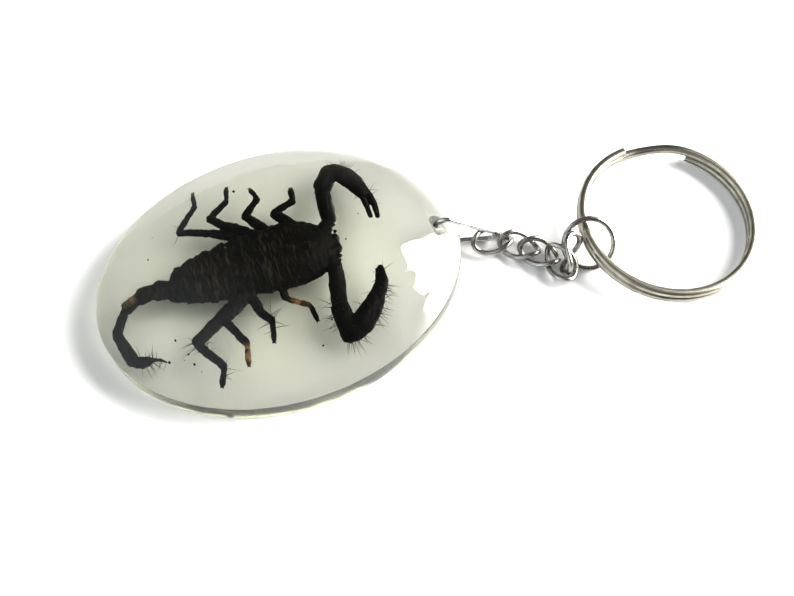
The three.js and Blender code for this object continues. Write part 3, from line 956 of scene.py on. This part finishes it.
jump_radius = (JUMP_RING_DIAMETER - JUMP_RING_WIRE) / 2
jump_circle = []
for step in range(JUMP_RING_STEPS):
    angle = 2 * math.pi * step / JUMP_RING_STEPS
    jump_circle.append((jump_radius * math.cos(angle), jump_radius * math.sin(angle)))
jump_ring_mesh = closed_wire(jump_circle, JUMP_RING_WIRE)
x, y, z = (value * MM for value in JUMP_RING_PLACE)
jump_ring_mesh.transform(
    Matrix.Translation((x, y, z + table_height)) @ Euler(JUMP_RING_TURN).to_matrix().to_4x4()
)
jump_ring = new_piece("jump_ring_wire", jump_ring_mesh, chain_nickel, "jump_ring")
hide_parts("jump_ring")


# The split ring
# A flat-sided strip of plated spring steel wound in nearly two turns. Its upper end stops
# short where the strip steps down from the upper coil to the lower one.
SPLIT_RING_DIAMETER = 30 * MM
STRIP_WIDTH = 1.4 * MM
STRIP_HEIGHT = 1.25 * MM
STRIP_ROUNDING = 0.5 * MM
COIL_GAP = 0.1 * MM
SPLIT_RING_PLACE = (63.5 * MM, -10.4 * MM)
SPLIT_RING_LIFT = 1.8 * MM
COIL_START = 96
COIL_SWEEP = 674
CROSSOVER_START = 411
CROSSOVER_SWEEP = 38
COIL_STEPS = 420


def smooth_step(value):
    value = min(max(value, 0.0), 1.0)
    return value * value * (3 - 2 * value)


def strip_section():
    """Round-cornered section as offsets outwards and up."""
    half_wide = STRIP_WIDTH / 2
    half_tall = STRIP_HEIGHT / 2
    points = []
    for corner, (out, up) in enumerate(((1, 1), (-1, 1), (-1, -1), (1, -1))):
        for step in range(5):
            angle = math.pi / 2 * (corner + step / 4)
            x = out * (half_wide - STRIP_ROUNDING) + STRIP_ROUNDING * math.cos(angle)
            z = up * (half_tall - STRIP_ROUNDING) + STRIP_ROUNDING * math.sin(angle)
            points.append((x, z))
    return points


def coil_mesh():
    shape = bmesh.new()
    section = strip_section()
    count = len(section)
    rings = []
    radius = (SPLIT_RING_DIAMETER - STRIP_WIDTH) / 2
    level = (STRIP_HEIGHT + COIL_GAP) / 2
    for step in range(COIL_STEPS + 1):
        degrees = COIL_START + COIL_SWEEP * step / COIL_STEPS
        crossed = smooth_step((degrees - CROSSOVER_START) / CROSSOVER_SWEEP)
        height = level - 2 * level * crossed
        angle = math.radians(degrees)
        ring = []
        for out, up in section:
            reach = radius + out
            place = (reach * math.cos(angle), reach * math.sin(angle), height + up)
            ring.append(shape.verts.new(place))
        rings.append(ring)
    for here, following in zip(rings, rings[1:]):
        for step in range(count):
            after = (step + 1) % count
            shape.faces.new((here[step], here[after], following[after], following[step]))
    shape.faces.new(rings[0])
    shape.faces.new(list(reversed(rings[-1])))
    bmesh.ops.recalc_face_normals(shape, faces=shape.faces)
    mesh = bpy.data.meshes.new("split ring")
    shape.to_mesh(mesh)
    smooth(mesh, 40)
    return mesh


worn_nickel = metal_material("worn nickel", (0.43, 0.415, 0.365), (0.27, 0.255, 0.21), 0.3, 0.5)
split_ring_mesh = coil_mesh()
split_tilt = math.asin(SPLIT_RING_LIFT / SPLIT_RING_DIAMETER)
split_height = STRIP_HEIGHT + COIL_GAP / 2 + SPLIT_RING_LIFT / 2 + table_height
split_ring_mesh.transform(
    Matrix.Translation((*SPLIT_RING_PLACE, split_height)) @ Matrix.Rotation(split_tilt, 4, "Y")
)
split_ring = new_piece(
    "split_ring_coil", split_ring_mesh, worn_nickel, "split_ring"
)
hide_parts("split_ring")


# The table, the light and the camera
# A plain white table, a pale room and a window low on the right, whose light the dome and the
# wire pick up. The camera looks down steeply from the side.
TABLE_REACH = 3
# Each pane as its left and right bearings and its lower and upper heights, in degrees.
WINDOW_PANES = [(20, -2, 8, 50), (-2, -16, 8, 46), (-16, -27, 8, 41), (-27, -39, 8, 35)]
WINDOW_DISTANCE = 0.7
PANE_GLOW = 13
VIEW_TURN = math.radians(-19)
VIEW_PITCH = math.radians(63.5)
VIEW_DISTANCE = 162.3 * MM
VIEW_TARGET = (16.65 * MM, -8.57 * MM)
FOCAL_LENGTH_PIXELS = 1000
IMAGE_WIDTH_PIXELS = 794
SENSOR_WIDTH = 36

table_mesh = bpy.data.meshes.new("table")
table_mesh.from_pydata(
    [(-TABLE_REACH, -TABLE_REACH, table_height), (TABLE_REACH, -TABLE_REACH, table_height),
     (TABLE_REACH, TABLE_REACH, table_height), (-TABLE_REACH, TABLE_REACH, table_height)],
    [],
    [(0, 1, 2, 3)],
)
table = bpy.data.objects.new("table", table_mesh)
bpy.context.scene.collection.objects.link(table)
table_white = bpy.data.materials.new("white table")
table_white.use_nodes = True
table_surface = table_white.node_tree.nodes["Principled BSDF"]
table_surface.inputs["Base Color"].default_value = (0.93, 0.93, 0.93, 1)
table_surface.inputs["Roughness"].default_value = 0.7
table_surface.inputs["Specular IOR Level"].default_value = 0.1
table_mesh.materials.append(table_white)


def window_pane(name, left, right, low, high):
    """A bright pane seen from the object between two bearings and two heights, in degrees."""
    toward_window = Vector((1, 0, 0))
    place = WINDOW_DISTANCE * Vector((
        1,
        math.tan(math.radians((left + right) / 2)),
        math.tan(math.radians((low + high) / 2)),
    ))
    across = abs(math.tan(math.radians(left)) - math.tan(math.radians(right)))
    upward = abs(math.tan(math.radians(high)) - math.tan(math.radians(low)))
    width = WINDOW_DISTANCE * across
    height = WINDOW_DISTANCE * upward
    light = bpy.data.lights.new(name, "AREA")
    light.shape = "RECTANGLE"
    light.size = width
    light.size_y = height
    light.energy = PANE_GLOW * math.pi * width * height
    light.color = (1, 0.985, 0.96)
    pane = bpy.data.objects.new(name, light)
    pane.location = place
    pane.rotation_euler = (-toward_window).to_track_quat("-Z", "Y").to_euler()
    bpy.context.scene.collection.objects.link(pane)


for number, (left, right, low, high) in enumerate(WINDOW_PANES, 1):
    window_pane(f"window pane {number}", left, right, low, high)

world = bpy.data.worlds.new("pale room")
world.use_nodes = True
bpy.context.scene.world = world
room_nodes = world.node_tree.nodes
room_links = world.node_tree.links
direction = room_nodes.new("ShaderNodeTexCoord")
axes = room_nodes.new("ShaderNodeSeparateXYZ")
room_links.new(direction.outputs["Generated"], axes.inputs["Vector"])


def room_part(axis, start, end, start_glow, end_glow):
    """Brightness that eases from one value to another along an axis of the room."""
    eased = room_nodes.new("ShaderNodeMapRange")
    eased.interpolation_type = "SMOOTHSTEP"
    eased.inputs["From Min"].default_value = start
    eased.inputs["From Max"].default_value = end
    eased.inputs["To Min"].default_value = start_glow
    eased.inputs["To Max"].default_value = end_glow
    room_links.new(axes.outputs[axis], eased.inputs["Value"])
    return eased.outputs["Result"]


def room_sum(operation, first, second):
    total = room_nodes.new("ShaderNodeMath")
    total.operation = operation
    room_links.new(first, total.inputs[0])
    room_links.new(second, total.inputs[1])
    return total.outputs["Value"]


# A white wall on the left, a dim ceiling and far side, and the photographer's dark side. The
# light is cool from the left and warm from the window side.
left_wall = room_part("X", 0.1, -0.7, 0, 0.8)
height_falloff = room_part("Z", 0, 0.6, 0.65, 0.2)
near_side = room_part("Y", -0.3, -0.75, 1, 0.3)
far_side = room_part("Y", 0.1, 0.7, 1, 0.55)
sides = room_sum("MULTIPLY", near_side, far_side)
glow = room_sum("MULTIPLY", room_sum("ADD", left_wall, height_falloff), sides)
room_links.new(glow, room_nodes["Background"].inputs["Strength"])
room_tone = room_nodes.new("ShaderNodeMix")
room_tone.data_type = "RGBA"
room_links.new(room_part("X", 0.4, -0.5, 0, 1), room_tone.inputs["Factor"])
room_tone.inputs["A"].default_value = (1, 0.965, 0.91, 1)
room_tone.inputs["B"].default_value = (0.94, 0.98, 1, 1)
room_links.new(room_tone.outputs["Result"], room_nodes["Background"].inputs["Color"])

back = Vector((
    math.sin(VIEW_TURN) * math.cos(VIEW_PITCH),
    -math.cos(VIEW_TURN) * math.cos(VIEW_PITCH),
    math.sin(VIEW_PITCH),
))
camera_data = bpy.data.cameras.new("camera")
camera_data.sensor_width = SENSOR_WIDTH
camera_data.lens = SENSOR_WIDTH * FOCAL_LENGTH_PIXELS / IMAGE_WIDTH_PIXELS
camera_data.clip_start = 0.01
camera = bpy.data.objects.new("camera", camera_data)
camera.location = Vector((*VIEW_TARGET, table_height)) + back * VIEW_DISTANCE
camera.rotation_euler = (-back).to_track_quat("-Z", "Y").to_euler()
bpy.context.scene.collection.objects.link(camera)
bpy.context.scene.camera = camera
bpy.context.scene.view_settings.view_transform = "Standard"
bpy.context.scene.view_settings.look = "High Contrast"
bpy.context.scene.view_settings.exposure = 0.18
